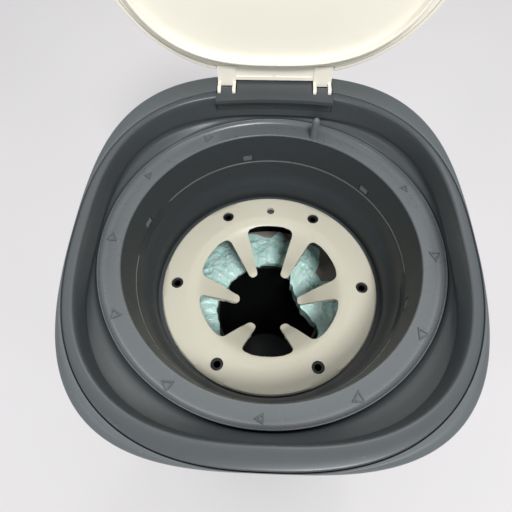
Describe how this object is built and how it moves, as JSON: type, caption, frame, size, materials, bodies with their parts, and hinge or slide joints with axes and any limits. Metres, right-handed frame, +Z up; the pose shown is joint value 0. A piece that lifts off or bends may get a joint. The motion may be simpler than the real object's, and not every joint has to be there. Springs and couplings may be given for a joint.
{
  "type": "nappy bin",
  "caption": "Tall nappy bin with a hinged head, twisting film cassette carrier, gripping finger ring and domed lid with a turning dial.",
  "frame": {"origin": "centre of the base on the floor, at the lower face of the base ring", "axes": "+Z up, -Y towards the front and its release button, +Y towards the hinges of the head and lid, +X to the right seen from the front"},
  "size_m": [0.266, 0.3825, 0.6832],
  "materials": {
    "shell_plastic": "satin",
    "liner_plastic": "satin",
    "ring_plastic": "satin",
    "button_plastic": "gloss",
    "peg_plastic": "gloss",
    "dial_plastic": "satin",
    "cream_plastic": "satin",
    "lid_plastic": "satin",
    "dark_plastic": "satin",
    "cassette_plastic": "satin",
    "film": "thin film, slightly glossy",
    "black_screw": "satin",
    "steel": "satin",
    "soft_rubber": "matte"
  },
  "bodies": {
    "tub_body": {"tub": "shell_plastic", "base_ring": "soft_rubber", "tub_hinge_bracket": "shell_plastic", "head_hinge_pin": "steel", "latch_strike": "dark_plastic", "cassette_1_body": "dark_plastic", "cassette_1_cover": "cassette_plastic", "cassette_1_film": "film", "cassette_2_body": "dark_plastic", "cassette_2_cover": "cassette_plastic", "cassette_2_film": "film", "cassette_3_body": "dark_plastic", "cassette_3_cover": "cassette_plastic", "cassette_3_film": "film"},
    "head_body": {"head_casing": "shell_plastic", "head_liner": "liner_plastic", "head_hinge_leaf": "shell_plastic", "lid_hinge_block": "liner_plastic", "lid_hinge_pins": "steel", "mechanism_housing": "liner_plastic", "housing_collar": "liner_plastic", "housing_screws": "steel", "glide_ring": "cream_plastic", "finger_ring": "cream_plastic", "finger_ring_screws": "black_screw", "latch_bracket": "liner_plastic", "latch_spring": "steel", "cutter_rail": "liner_plastic"},
    "button_body": {"latch_button": "button_plastic"},
    "cutter_body": {"cutter_slider": "cream_plastic", "cutter_blade": "steel"},
    "twister_body": {"twist_ring": "ring_plastic", "drive_peg": "peg_plastic", "cassette_carrier": "ring_plastic"},
    "lid_body": {"lid_shell": "lid_plastic", "lid_inner": "lid_plastic", "lid_seal": "soft_rubber", "lid_hinge_frame": "lid_plastic", "spindle_bushings": "cream_plastic"},
    "dial_body": {"twist_dial": "dial_plastic", "drive_arm": "cream_plastic", "dial_screw": "steel"}
  },
  "joints": [
    {"name": "head_hinge", "type": "hinge", "parent": "tub_body", "child": "head_body", "pos_m": [0, 0.153, 0.288], "axis": [-1, 0, 0], "range_deg": [0, 95]},
    {"name": "carrier_twist", "type": "hinge", "parent": "head_body", "child": "twister_body", "pos_m": [0, 0, 0.386], "axis": [0, 0, 1], "continuous": true},
    {"name": "lid_hinge", "type": "hinge", "parent": "head_body", "child": "lid_body", "pos_m": [0, 0.131, 0.412], "axis": [1, 0, 0], "range_deg": [0, 100]},
    {"name": "dial_turn", "type": "hinge", "parent": "lid_body", "child": "dial_body", "pos_m": [0, 0.21284, 0.53059], "axis": [0, 0.9848, -0.1736], "continuous": true},
    {"name": "release_button", "type": "slide", "parent": "head_body", "child": "button_body", "axis": [0, 1, 0], "range_m": [0, 0.004], "stiffness_N_per_m": 400, "springref_m": -0.002, "deforming": ["latch_spring"]},
    {"name": "cutter_slide", "type": "slide", "parent": "head_body", "child": "cutter_body", "axis": [1, 0, 0], "range_m": [-0.022, 0.022]}
  ]
}
